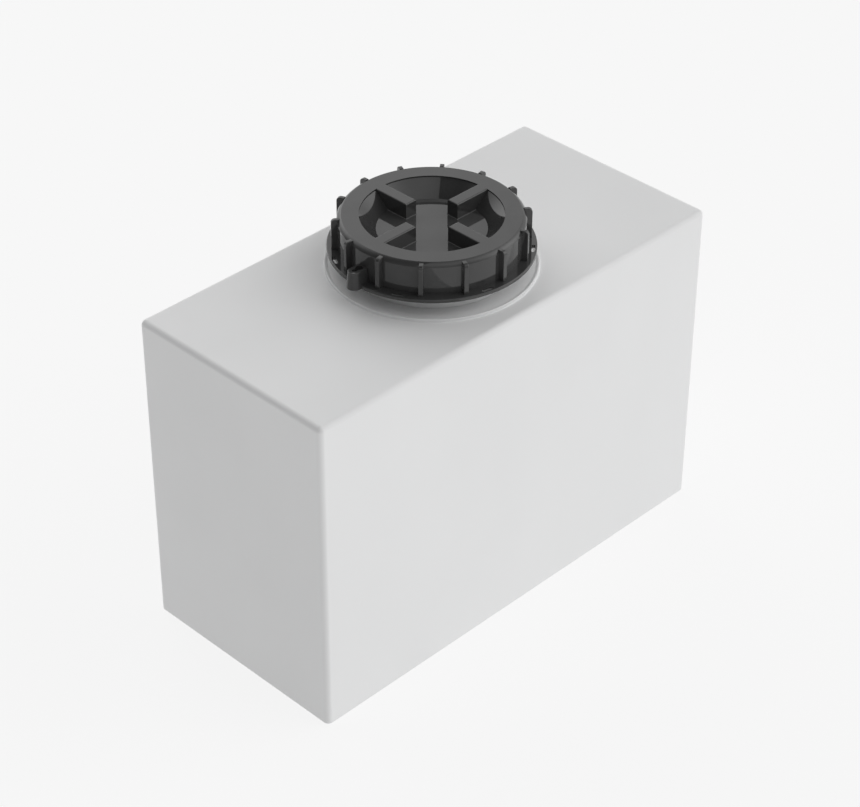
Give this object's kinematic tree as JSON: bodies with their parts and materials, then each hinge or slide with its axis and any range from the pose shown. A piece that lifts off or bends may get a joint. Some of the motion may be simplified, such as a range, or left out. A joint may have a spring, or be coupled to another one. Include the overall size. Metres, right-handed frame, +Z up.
{
  "type": "fresh water tank",
  "caption": "Rectangular moulded fresh water tank with a wide ribbed screw-on access lid, a threaded neck and hose connectors recessed in one end.",
  "frame": {"origin": "centre of the flat underside, under the lid's axis", "axes": "+X along the length, towards the end with the hose connectors; +Y across the width; +Z up"},
  "size_m": [0.6, 0.281, 0.464],
  "materials": {
    "shell": "milky white polyethylene, satin moulded skin",
    "neck": "milky white polyethylene, smoother than the shell",
    "lid": "dark grey, glossy injection moulding",
    "gasket": "matte black rubber",
    "fitting": "black polypropylene, semi-gloss",
    "washer": "matte black rubber",
    "backnut": "black polypropylene, semi-gloss",
    "plug": "black polypropylene, semi-gloss",
    "seal": "matte black rubber"
  },
  "bodies": {
    "tank": {"tank_shell": "shell", "neck_collar": "neck", "fill_fitting": "fitting", "fill_washer": "washer", "fill_backnut": "backnut", "vent_fitting": "fitting", "vent_washer": "washer", "vent_backnut": "backnut", "outlet_fitting": "fitting", "outlet_washer": "washer", "outlet_backnut": "backnut", "drain_fitting": "fitting", "drain_washer": "washer", "drain_backnut": "backnut"},
    "lid_seal": {"lid_gasket": "gasket"},
    "lid": {"lid": "lid"},
    "plug_seal": {"drain_plug_seal": "seal"},
    "plug": {"drain_plug": "plug"}
  },
  "joints": [
    {"name": "lid_rise", "type": "slide", "parent": "tank", "child": "lid_seal", "axis": [0, 0, 1], "range_m": [0, 0.0361]},
    {"name": "lid_turn", "type": "hinge", "parent": "lid_seal", "child": "lid", "pos_m": [0, 0, 0.45], "axis": [0, 0, 1], "range_deg": [0, 720]},
    {"name": "plug_travel", "type": "slide", "parent": "tank", "child": "plug_seal", "axis": [1, 0, 0], "range_m": [0, 0.0146]},
    {"name": "plug_turn", "type": "hinge", "parent": "plug_seal", "child": "plug", "pos_m": [0.28, 0.042, 0.034], "axis": [1, 0, 0], "range_deg": [0, 2880]}
  ],
  "couplings": [
    {"joint": "lid_rise", "follows": "lid_turn", "m_per_rad": 0.0028648},
    {"joint": "plug_travel", "follows": "plug_turn", "m_per_rad": 0.00028871}
  ]
}
